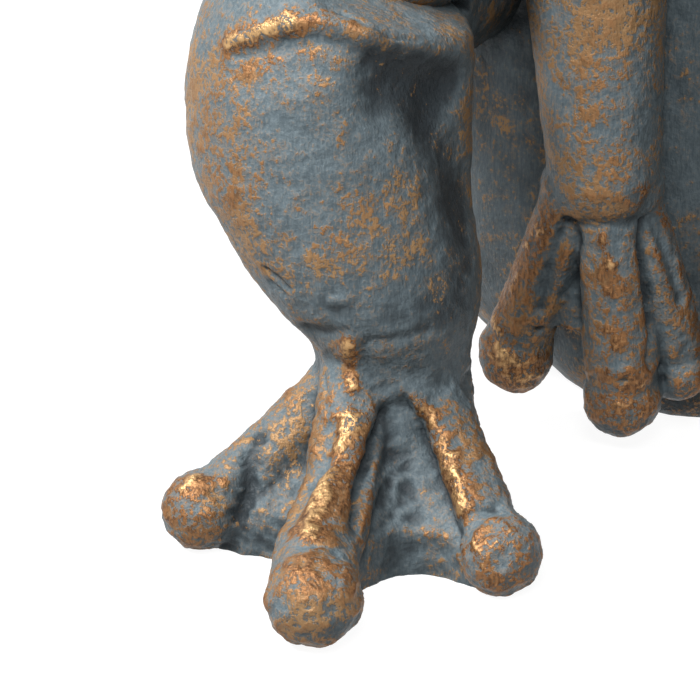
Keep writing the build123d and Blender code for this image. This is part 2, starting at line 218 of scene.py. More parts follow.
class Clay:
    """Rough forms that are fused into one skin, smoothed and worked over."""

    def __init__(self, name: str) -> None:
        """Start with nothing.

        Args:
            name: Name of the finished object.
        """
        self.name = name
        self.lumps: list[bpy.types.Object] = []

    def _keep(self) -> bpy.types.Object:
        """Take the newest object into the lump.

        Returns:
            That object.
        """
        lump = bpy.context.object
        self.lumps.append(lump)
        return lump

    def ball(self, place: Vector, radius_mm: float, stretch: tuple[float, float, float] = (1, 1, 1)) -> None:
        """Add a ball.

        Args:
            place: Centre in metres.
            radius_mm: Radius before stretching.
            stretch: Factors along X, Y and Z.
        """
        bpy.ops.object.select_all(action="DESELECT")
        bpy.ops.mesh.primitive_uv_sphere_add(
            segments=BALL_SEGMENTS,
            ring_count=BALL_SEGMENTS // 2,
            radius=radius_mm * MM,
            location=place,
        )
        self._keep()
        bpy.ops.object.mode_set(mode="EDIT")
        bpy.ops.mesh.select_all(action="SELECT")
        bpy.ops.transform.resize(value=stretch, center_override=place)
        bpy.ops.object.mode_set(mode="OBJECT")

    def bar(self, start: Vector, end: Vector, start_mm: float, end_mm: float) -> None:
        """Add a tapering bar with round ends.

        Args:
            start: Centre of the first end.
            end: Centre of the second end.
            start_mm: Radius at the first end.
            end_mm: Radius at the second end.
        """
        line = end - start
        bpy.ops.object.select_all(action="DESELECT")
        bpy.ops.mesh.primitive_cone_add(
            vertices=BALL_SEGMENTS,
            radius1=start_mm * MM,
            radius2=end_mm * MM,
            depth=line.length,
            location=(start + end) / 2,
            rotation=line.to_track_quat("Z", "Y").to_euler(),
        )
        self._keep()
        self.ball(start, start_mm)
        self.ball(end, end_mm)

    def limb(self, bends: Bends, side: int = 1) -> None:
        """Add bars from bend to bend.

        Args:
            bends: Places in millimetres with the radius there.
            side: Minus one to put them on the other side of the frog.
        """
        for (x1, y1, z1, start_mm), (x2, y2, z2, end_mm) in zip(bends, bends[1:]):
            self.bar(mm(side * x1, y1, z1), mm(side * x2, y2, z2), start_mm, end_mm)

    def column(self, ovals: list[Oval]) -> None:
        """Add a form by drawing up a level oval from section to section.

        Args:
            ovals: Sections from the lowest to the highest.
        """
        dense = faired(ovals)
        low = dense[0]
        place = mm(low.x, low.y, low.height)
        bpy.ops.object.select_all(action="DESELECT")
        bpy.ops.mesh.primitive_circle_add(vertices=OVAL_SEGMENTS, radius=MM, fill_type="NGON", location=place)
        self._keep()
        bpy.ops.object.mode_set(mode="EDIT")
        bpy.ops.mesh.select_all(action="SELECT")
        bpy.ops.transform.resize(value=(low.half_width, low.half_depth, 1), center_override=place)
        for below, above in zip(dense, dense[1:]):
            place = mm(above.x, above.y, above.height)
            rise = place - mm(below.x, below.y, below.height)
            bpy.ops.mesh.extrude_region_move(TRANSFORM_OT_translate={"value": rise})
            grow = (above.half_width / below.half_width, above.half_depth / below.half_depth, 1)
            bpy.ops.transform.resize(value=grow, center_override=place)
        bpy.ops.mesh.select_all(action="SELECT")
        bpy.ops.mesh.normals_make_consistent(inside=False)
        bpy.ops.object.mode_set(mode="OBJECT")

    def web(self, corners: tuple[Vector, Vector, Vector], drop: Vector) -> None:
        """Add a three-cornered web.

        Args:
            corners: Corners of the web's upper face.
            drop: How far and which way the web is thick.
        """
        bpy.ops.object.select_all(action="DESELECT")
        bpy.ops.mesh.primitive_cylinder_add(vertices=3, radius=MM, depth=MM)
        lump = self._keep()
        ring = sorted(lump.data.vertices, key=lambda v: math.atan2(v.co.y, v.co.x))
        below = [v for v in ring if v.co.z < 0]
        above = [v for v in ring if v.co.z > 0]
        for low, high, corner in zip(below, above, corners):
            high.co = corner
            low.co = corner + drop
        bpy.ops.object.mode_set(mode="EDIT")
        bpy.ops.mesh.select_all(action="SELECT")
        bpy.ops.mesh.normals_make_consistent(inside=False)
        bpy.ops.object.mode_set(mode="OBJECT")

    def fuse(self, voxel_mm: float, rounds: int) -> bpy.types.Object:
        """Join the lumps into one even skin and smooth it.

        Args:
            voxel_mm: Size of the skin's faces.
            rounds: How often the skin is smoothed.

        Returns:
            The fused object, at the origin.
        """
        bpy.ops.object.select_all(action="DESELECT")
        for lump in self.lumps:
            lump.select_set(True)
        skin = self.lumps[0]
        bpy.context.view_layer.objects.active = skin
        bpy.ops.object.join()
        bpy.ops.object.transform_apply(location=True, rotation=True, scale=True)
        skin.name = self.name
        skin.data.name = self.name
        fuse = skin.modifiers.new("fuse", "REMESH")
        fuse.mode = "VOXEL"
        fuse.voxel_size = voxel_mm * MM
        bpy.ops.object.modifier_apply(modifier=fuse.name)
        fair = skin.modifiers.new("fair", "SMOOTH")
        fair.factor = 0.5
        fair.iterations = rounds
        bpy.ops.object.modifier_apply(modifier=fair.name)
        return skin


def pick(piece: bpy.types.Object) -> None:
    """Select one object and nothing else, and make it the active one.

    Args:
        piece: The object.
    """
    bpy.ops.object.select_all(action="DESELECT")
    bpy.context.view_layer.objects.active = piece
    piece.select_set(True)


def copied(piece: bpy.types.Object, name: str) -> bpy.types.Object:
    """Copy an object and its mesh.

    Args:
        piece: The object.
        name: Name of the copy.

    Returns:
        The copy, in the scene.
    """
    part = piece.copy()
    part.data = piece.data.copy()
    part.name = name
    part.data.name = name
    bpy.context.scene.collection.objects.link(part)
    return part


def ramp(values: np.ndarray, start: float, span: float) -> np.ndarray:
    """Rise from nought to one over a span of the values."""
    return np.clip((values - start) / span, 0, 1)


def points_of(piece: bpy.types.Object) -> np.ndarray:
    """Read the places of a piece's points.

    Args:
        piece: The object.

    Returns:
        One row for each point.
    """
    flat = np.empty(len(piece.data.vertices) * 3)
    piece.data.vertices.foreach_get("co", flat)
    return flat.reshape(-1, 3)


def normals_of(piece: bpy.types.Object) -> np.ndarray:
    """Read the outward directions at a piece's points.

    Args:
        piece: The object.

    Returns:
        One row for each point.
    """
    flat = np.empty(len(piece.data.vertices) * 3)
    piece.data.vertices.foreach_get("normal", flat)
    return flat.reshape(-1, 3)


def set_points(piece: bpy.types.Object, points: np.ndarray) -> None:
    """Move a piece's points to the given rows."""
    piece.data.vertices.foreach_set("co", points.ravel())
    piece.data.update()


def relaxed(piece: bpy.types.Object, rows: np.ndarray, rounds: int) -> np.ndarray:
    """Average rows of numbers with those of neighbouring points.

    Args:
        piece: The object whose edges join the points.
        rows: One row of numbers for each point.
        rounds: How often they are averaged.

    Returns:
        The averaged rows.
    """
    count = len(piece.data.vertices)
    ends = np.empty(len(piece.data.edges) * 2, dtype=np.int64)
    piece.data.edges.foreach_get("vertices", ends)
    first, second = ends[0::2], ends[1::2]
    degree = np.maximum(np.bincount(ends, minlength=count), 1)
    out = rows.copy()
    for _ in range(rounds):
        for column in range(out.shape[1]):
            values = out[:, column]
            total = np.bincount(first, values[second], count) + np.bincount(second, values[first], count)
            out[:, column] = (values + total / degree) / 2
    return out


def ease(piece: bpy.types.Object, points: np.ndarray, rounds: int, share: np.ndarray) -> None:
    """Smooth a piece in some places.

    Args:
        piece: The object to work on.
        points: Where its points are to start from, in millimetres.
        rounds: How often they are averaged with their neighbours.
        share: How much of that each point takes.
    """
    smooth = relaxed(piece, points, rounds)
    set_points(piece, (points + (smooth - points) * share[:, None]) * MM)


def add_wear_and_shade(piece: bpy.types.Object, amount: np.ndarray) -> None:
    """Add to the number stored at each point: worn bronze above nought, painted shade below it.

    Args:
        piece: The object to mark.
        amount: One number for each point.
    """
    layer = piece.data.attributes.get("wear_and_shade") or piece.data.attributes.new("wear_and_shade", "FLOAT", "POINT")
    worn = np.empty(len(amount), dtype=np.float32)
    layer.data.foreach_get("value", worn)
    layer.data.foreach_set("value", (worn + amount).astype(np.float32))


def drawn_out(spots: list[np.ndarray], steps: int = 8) -> list[np.ndarray]:
    """Add evenly spaced places between the given ones.

    Args:
        spots: Places along a line.
        steps: How many spans each gap is divided into.

    Returns:
        The denser list of places.
    """
    line = [spots[0]]
    for start, end in zip(spots, spots[1:]):
        line.extend(start + (end - start) * step / steps for step in range(1, steps + 1))
    return line


def press(
    piece: bpy.types.Object,
    line: list[np.ndarray],
    width_mm: float,
    raise_mm: float,
    rub: float = 0.0,
    outward: np.ndarray | None = None,
) -> None:
    """Raise or press a piece along a line, and rub its paint there.

    Args:
        piece: The object to work on.
        line: Closely spaced places in metres.
        width_mm: Half width of the mark.
        raise_mm: Height of the mark, below zero for a groove.
        rub: How much the paint is worn off; below nought how much it is darkened, as painted shade.
        outward: The way to move, or none to follow the surface.
    """
    points, normals = points_of(piece), normals_of(piece)
    away = np.min([np.sum((points - spot) ** 2, axis=1) for spot in line], axis=0)
    weight = np.exp(-away / (width_mm * MM) ** 2)
    if outward is not None:
        weight *= np.clip(normals @ outward * FACING_GAIN, 0, 1)
        normals = outward[None, :]
    set_points(piece, points + normals * (weight * raise_mm * MM)[:, None])
    if rub:
        add_wear_and_shade(piece, weight * rub)


def draw_strokes(piece: bpy.types.Object, strokes: tuple[Stroke, ...]) -> None:
    """Press or raise lines on a piece where the photograph shows them.

    Args:
        piece: The object to work on.
        strokes: The lines.
    """
    tree = BVHTree.FromObject(piece, bpy.context.evaluated_depsgraph_get())
    eye = VIEW.eye()
    for stroke in strokes:
        hits = [tree.ray_cast(eye, VIEW.ray(pixel)) for pixel in stroke.pixels]
        hits = [hit for hit in hits if hit[0] is not None]
        if not hits:
            log.warning("%s: a stroke at %s misses it", piece.name, stroke.pixels[0])
            continue
        outward = np.array(sum((hit[1] for hit in hits), Vector()).normalized())
        line = drawn_out([np.array(hit[0]) for hit in hits])
        press(piece, line, stroke.width_mm, stroke.raise_mm, stroke.rub, outward)


def crumple(piece: bpy.types.Object, grain_mm: float, height_mm: float, low_mm: float) -> None:
    """Crumple a piece like foil, most strongly near the ground.

    Args:
        piece: The object to work on.
        grain_mm: Size of the creases.
        height_mm: Their height.
        low_mm: Up to what height they are strong.
    """
    points = points_of(piece)
    places = points / (grain_mm * MM)
    folds = np.array([noise.ridged_multi_fractal(place, *CREASE_PATTERN) for place in places])
    folds = (folds - folds.mean()) / folds.std()
    strong = CREASE_LEAST + (1 - CREASE_LEAST) / (1 + np.exp((points[:, 2] / MM - low_mm) / CREASE_FADE_MM))
    set_points(piece, points + normals_of(piece) * (folds * strong * height_mm * MM)[:, None])


def roughen(piece: bpy.types.Object, grains: Grains) -> None:
    """Give a piece the uneven surface of hand-modelled clay.

    Args:
        piece: The object to work on.
        grains: Size and height of each layer of lumps, in millimetres.
    """
    pick(piece)
    for size_mm, height_mm in grains:
        lumps = bpy.data.textures.new(f"{piece.name}_lumps_{size_mm}", "CLOUDS")
        lumps.noise_scale = size_mm * MM
        lumps.noise_depth = 3
        push = piece.modifiers.new("push", "DISPLACE")
        push.texture = lumps
        push.texture_coords = "LOCAL"
        push.strength = 2 * height_mm * MM
        push.mid_level = 0.5
        bpy.ops.object.modifier_apply(modifier=push.name)


def mark_wear_and_shade(piece: bpy.types.Object) -> None:
    """Store how far each point stands proud of its surroundings, which is where rubbing wears the paint;
    where a point lies sunk below them the paint is darkened as painted shade.

    Args:
        piece: The object to mark.
    """
    points = points_of(piece)
    normals = normals_of(piece)
    near = np.sum((points - relaxed(piece, points, NEAR_ROUNDS)) * normals, axis=1) / MM
    far = np.sum((points - relaxed(piece, points, FAR_ROUNDS)) * normals, axis=1) / MM
    add_wear_and_shade(piece, np.tanh(near * NEAR_GAIN) * NEAR_SHARE + np.tanh(far / FAR_MM) * FAR_SHARE)


def cut(piece: bpy.types.Object, name: str, place: Vector, away: Vector) -> bpy.types.Object:
    """Copy the part of a piece that lies behind a plane, and close it there.

    Args:
        piece: The object to cut.
        name: Name of the new object.
        place: A point on the plane.
        away: The plane's direction, pointing to what is left out.

    Returns:
        The new object.
    """
    part = copied(piece, name)
    pick(part)
    bpy.ops.object.mode_set(mode="EDIT")
    bpy.ops.mesh.select_all(action="SELECT")
    bpy.ops.mesh.bisect(plane_co=place, plane_no=away, use_fill=True, clear_outer=True, threshold=CUT_M)
    bpy.ops.object.mode_set(mode="OBJECT")
    return part


def mirrored(piece: bpy.types.Object, name: str) -> bpy.types.Object:
    """Copy a piece of one side to the other side.

    Args:
        piece: The object to copy.
        name: Name of the new object.

    Returns:
        The new object.
    """
    part = copied(piece, name)
    set_points(part, points_of(part) * np.array((-1, 1, 1)))
    part.data.flip_normals()
    return part


def discard(piece: bpy.types.Object) -> None:
    """Delete an object that was only a step on the way.

    Args:
        piece: The object.
    """
    mesh = piece.data
    bpy.data.objects.remove(piece)
    bpy.data.meshes.remove(mesh)


def node(tree: bpy.types.NodeTree, kind: str, settings: dict | None = None, **links) -> bpy.types.Node:
    """Add a shader node.

    Args:
        tree: The material's or world's node tree.
        kind: Type of the node.
        settings: Values of its properties, or of its inputs by name or place.
        **links: What feeds its inputs, sockets or plain values, by input name with underscores for spaces,
            or in_N by place.

    Returns:
        The new node.
    """
    made = tree.nodes.new(kind)
    for key, value in (settings or {}).items():
        if isinstance(key, int) or key in made.inputs:
            made.inputs[key].default_value = value
        else:
            setattr(made, key, value)
    for key, value in links.items():
        place = int(key[3:]) if key.startswith("in_") else key.replace("_", " ")
        if isinstance(value, Socket):
            tree.links.new(value, made.inputs[place])
        else:
            made.inputs[place].default_value = value
    return made


def blank_material(name: str) -> bpy.types.Material:
    """Start a material that has no nodes yet.

    Args:
        name: Name of the material.

    Returns:
        The material.
    """
    made = bpy.data.materials.new(name)
    made.use_nodes = True
    made.node_tree.nodes.clear()
    return made


@dataclass(frozen=True)
class Brushwork:
    """Sums, patterns and coats of paint, each put together from the nodes of one material."""

    tree: bpy.types.NodeTree

    def total(self, *shares: tuple[Socket | float, Socket | float]) -> Socket:
        """Add values up, each times its share.

        Args:
            *shares: Pairs of a value and its share.

        Returns:
            The sum.
        """
        whole = 0.0
        for value, share in shares:
            step = {"operation": "MULTIPLY_ADD"}
            whole = node(self.tree, "ShaderNodeMath", step, in_0=value, in_1=share, in_2=whole).outputs[0]
        return whole

    def pattern(self, where: Socket, size_mm: float, detail: float, rough: float = 0.6) -> Socket:
        """Make a cloudy pattern about zero.

        Args:
            where: Coordinates that it is laid on.
            size_mm: Its real size.
            detail: How many finer layers it has.
            rough: How strong the finer layers are.

        Returns:
            The pattern.
        """
        settings = {"Scale": 1 / (size_mm * MM), "Detail": detail, "Roughness": rough}
        cloud = node(self.tree, "ShaderNodeTexNoise", settings, Vector=where)
        return self.total((cloud.outputs["Fac"], 1.0), (1.0, -0.5))

    def coated(self, base: Socket | str, *coats: tuple[Socket, float, float, float, Socket | str]) -> Socket:
        """Lay coats of paint over a colour.

        Args:
            base: The colour below.
            *coats: For each coat the value that it follows, where it begins, where it is full, how much it
                then covers, and its colour.

        Returns:
            The colour on top.
        """
        for value, low, high, most, colour in coats:
            settings = {"interpolation_type": "SMOOTHSTEP", 1: low, 2: high, 4: most}
            cover = node(self.tree, "ShaderNodeMapRange", settings, Value=value).outputs[0]
            under, over = (linear(tone) if isinstance(tone, str) else tone for tone in (base, colour))
            coat = node(self.tree, "ShaderNodeMix", {"data_type": "RGBA"}, in_0=cover, in_6=under, in_7=over)
            base = coat.outputs[2]
        return base


@dataclass(frozen=True)
class RubbedCasting:
    """Cement casting, undercoated in bronze powder paint, brushed over in slate and rubbed back.

    The slate stays in the hollows, and there and in sheltered parts the paint is darkened further as painted
    shade.
    The bronze shows on ridges and in flecks where the rag dragged; the highest crests turn a paler golden
    tone, partly a painted highlight.
    """

    name: str = "rubbed_bronze_on_cast_cement"
    # Darkest slate, laid over the paint as painted shade in hollows and sheltered parts
    painted_shade_slate: str = "#272c30"
    slate: str = "#566268"
    slate_pale: str = "#6d797e"
    tan: str = "#9c7a53"
    bronze_dark: str = "#4f3018"
    bronze: str = "#8c5f36"
    # Paler golden tone of the highest crests, partly a painted highlight
    gold_and_highlight: str = "#d0a874"
    patch_mm: float = 48.0
    mottle_mm: float = 9.0
    # Real flecks and brush marks are finer, and these are as coarse as they need to be to show
    fleck_mm: float = 1.8
    stroke_mm: float = 1.0
    wrinkle_mm: float = 6.0
    pit_mm: float = 7.0
    sweep_mm: float = 30.0
    relief_mm: float = 2.4
    brush_turns: tuple[tuple[float, float, float], ...] = ((0.35, -0.25, 0.0), (0.2, 1.25, 0.3))
    brush_pull: tuple[float, float, float] = (1.0, 1.0, 0.18)
    bare_span: tuple[float, float] = (0.0, 0.05)
    haze_span: tuple[float, float] = (-0.14, 0.02)
    ridge_span: tuple[float, float] = (0.05, 0.8)
    polish_highlight_span: tuple[float, float] = (0.75, 1.75)
    # Where the painted shade begins and where it is full
    painted_shade_span: tuple[float, float] = (-0.1, -0.9)

    def material(self) -> bpy.types.Material:
        """Build the finish.

        Returns:
            The material.
        """
        made = blank_material(self.name)
        tree = made.node_tree
        brush = Brushwork(tree)
        place = node(tree, "ShaderNodeTexCoord").outputs["Object"]
        wear_and_shade = node(tree, "ShaderNodeAttribute", {"attribute_name": "wear_and_shade"}).outputs["Fac"]
        soft = {"interpolation_type": "SMOOTHSTEP"}

        # Patterns: broad patches, mottling, flecks, brush strokes that run two ways, and wrinkles
        patch = brush.pattern(place, self.patch_mm, 2)
        mottle = brush.pattern(place, self.mottle_mm, 8, 0.66)
        fleck = brush.pattern(place, self.fleck_mm, 3, 0.62)
        streaks = []
        for turn in self.brush_turns:
            along = node(tree, "ShaderNodeMapping", {2: turn, 3: self.brush_pull}, Vector=place)
            streaks.append(brush.pattern(along.outputs[0], self.stroke_mm, 3))
        sweep = brush.pattern(place, self.sweep_mm, 1)
        way = node(tree, "ShaderNodeMapRange", soft | {1: -0.04, 2: 0.04}, Value=sweep).outputs[0]
        stroke = brush.total((streaks[0], way), (streaks[1], 1.0), (brush.total((streaks[1], way)), -1.0))
        wrinkled = {"noise_type": "RIDGED_MULTIFRACTAL", "Scale": 1 / (self.wrinkle_mm * MM), "Detail": 3.0}
        wrinkle = node(tree, "ShaderNodeTexNoise", wrinkled, Vector=place).outputs["Fac"]
        pits = brush.pattern(place, self.pit_mm, 4, 0.5)

        # How far the paint is worn: through to the undercoat, to a ridge, and to metal rubbed to a polish,
        # whose paler golden tone is partly a painted highlight
        relief = brush.total((mottle, 0.85), (fleck, 0.8), (stroke, 0.25), (wrinkle, 0.1), (1.0, -0.04))
        stand = {1: -0.8, 2: 1.3, 3: -0.19, 4: 0.17}
        proud = node(tree, "ShaderNodeMapRange", soft | stand, Value=wear_and_shade).outputs[0]
        rubbed = brush.total((proud, 1.0), (patch, 0.6), (relief, 1.0), (1.0, 0.022))
        high = brush.total((wear_and_shade, 1.0), (relief, 1.2))
        highest = brush.total((wear_and_shade, 1.0), (relief, 1.8))
        levels = ((rubbed, *self.bare_span), (high, *self.ridge_span), (highest, *self.polish_highlight_span))
        bare, ridge, polish_and_highlight = (
            node(tree, "ShaderNodeMapRange", soft | {1: low, 2: full}, Value=value).outputs[0]
            for value, low, full in levels
        )

        paint = brush.coated(
            self.slate,
            (brush.total((stroke, 0.8), (fleck, 0.6)), -0.2, 0.25, 1.0, self.slate_pale),
            (rubbed, *self.haze_span, 0.3, self.tan),
            # Painted shade: darkest slate where the number falls below nought, in hollows and sheltered parts
            (wear_and_shade, *self.painted_shade_span, 0.85, self.painted_shade_slate),
        )
        streaky = brush.total((fleck, 0.7), (stroke, 0.9))
        brown = brush.coated(self.bronze_dark, (streaky, -0.14, 0.12, 1.0, self.bronze))
        metal = brush.coated(
            self.tan,
            (high, *self.ridge_span, 1.0, brown),
            # Paler golden tone on the highest crests, partly a painted highlight
            (highest, *self.polish_highlight_span, 1.0, self.gold_and_highlight),
        )
        colour = brush.coated(paint, (rubbed, *self.bare_span, 0.9, metal))

        shine = brush.total((ridge, 0.35), (polish_and_highlight, 0.25), (1.0, 0.22))
        rough = brush.total((bare, 0.02), (fleck, 0.2), (polish_and_highlight, -0.06), (1.0, 0.42))
        height = brush.total((pits, 0.35), (wrinkle, 0.2), (fleck, 0.22), (stroke, 0.14), (bare, 0.05))
        bump = node(tree, "ShaderNodeBump", {"Strength": 1.0, "Distance": self.relief_mm * MM}, Height=height)
        shader = node(
            tree,
            "ShaderNodeBsdfPrincipled",
            {"IOR": 1.5, "Specular IOR Level": 0.16},
            Base_Color=colour,
            Metallic=brush.total((bare, shine)),
            Roughness=rough,
            Normal=bump.outputs[0],
        )
        node(tree, "ShaderNodeOutputMaterial", Surface=shader.outputs[0])
        return made


@dataclass(frozen=True)
class BareCasting:
    """Unpainted cast cement, fine grained and dull, as under the seat."""

    name: str = "bare_cast_cement"
    colour: str = "#8b857b"
    speck: str = "#6d675f"
    # Sand is finer than this, which is as coarse as it needs to be to show
    grain_mm: float = 1.2
    relief_mm: float = 0.4

    def material(self) -> bpy.types.Material:
        """Build the finish.

        Returns:
            The material.
        """
        made = blank_material(self.name)
        tree = made.node_tree
        place = node(tree, "ShaderNodeTexCoord").outputs["Object"]
        sandy = {"Scale": 1 / (self.grain_mm * MM), "Detail": 4.0}
        grain = node(tree, "ShaderNodeTexNoise", sandy, Vector=place).outputs["Fac"]
        tones = {"data_type": "RGBA", 6: linear(self.colour), 7: linear(self.speck)}
        colour = node(tree, "ShaderNodeMix", tones, in_0=grain).outputs[2]
        low = {"Strength": 0.4, "Distance": self.relief_mm * MM}
        bump = node(tree, "ShaderNodeBump", low, Height=grain).outputs[0]
        shader = node(tree, "ShaderNodeBsdfPrincipled", {"Roughness": 0.85}, Base_Color=colour, Normal=bump)
        node(tree, "ShaderNodeOutputMaterial", Surface=shader.outputs[0])
        return made


@dataclass(frozen=True)
class DowelSteel:
    """Drawn mild steel bar, bright, with a finely uneven sheen."""

    name: str = "drawn_steel"
    colour: str = "#9a9c9e"
    # Real bar is more even, and this is as coarse as it needs to be to show
    grain_mm: float = 0.5

    def material(self) -> bpy.types.Material:
        """Build the finish.

        Returns:
            The material.
        """
        made = blank_material(self.name)
        tree = made.node_tree
        place = node(tree, "ShaderNodeTexCoord").outputs["Object"]
        uneven = {"Scale": 1 / (self.grain_mm * MM), "Detail": 2.0}
        grain = node(tree, "ShaderNodeTexNoise", uneven, Vector=place).outputs["Fac"]
        rough = node(tree, "ShaderNodeMapRange", {3: 0.28, 4: 0.45}, Value=grain).outputs[0]
        steel = {"Base Color": linear(self.colour), "Metallic": 1.0}
        shader = node(tree, "ShaderNodeBsdfPrincipled", steel, Roughness=rough)
        node(tree, "ShaderNodeOutputMaterial", Surface=shader.outputs[0])
        return made


@dataclass(frozen=True)
class Finishes:
    """The materials that the pieces share."""

    casting: bpy.types.Material
    bare: bpy.types.Material
    steel: bpy.types.Material


def dress(piece: bpy.types.Object, node_name: str, material: bpy.types.Material) -> None:
    """Give a finished piece its material and its place in the model.

    Args:
        piece: The finished object.
        node_name: The model's node that it stands for.
        material: Its finish.
    """
    piece.data.materials.clear()
    piece.data.materials.append(material)
    pick(piece)
    bpy.ops.object.shade_smooth_by_angle(angle=math.radians(SMOOTH_ANGLE_DEG))
    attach(piece, "root")
    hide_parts(node_name)
    log.info("%s: %d faces", piece.name, len(piece.data.polygons))


def dress_pair(piece: bpy.types.Object, name: str, finishes: Finishes) -> None:
    """Mirror a finished piece of the right side, and dress both.

    Args:
        piece: The finished object.
        name: The limb's name, without its side.
        finishes: The shared materials.
    """
    other = mirrored(piece, f"left_{name}_skin")
    dress(piece, f"right_{name}", finishes.casting)
    dress(other, f"left_{name}", finishes.casting)


@dataclass(frozen=True)
class Digit:
    """A toe or finger: a bent bar that ends in a round tip.

    Bends are places in millimetres with the radius there, from the root to the neck.
    """

    bends: Bends
    tip: tuple[float, float, float]
    tip_mm: float
    stretch: tuple[float, float, float] = (1.0, 1.0, 1.0)

    def add_to(self, clay: Clay) -> None:
        """Add the digit to a lump of clay."""
        clay.limb(self.bends)
        clay.ball(mm(*self.tip), self.tip_mm, self.stretch)


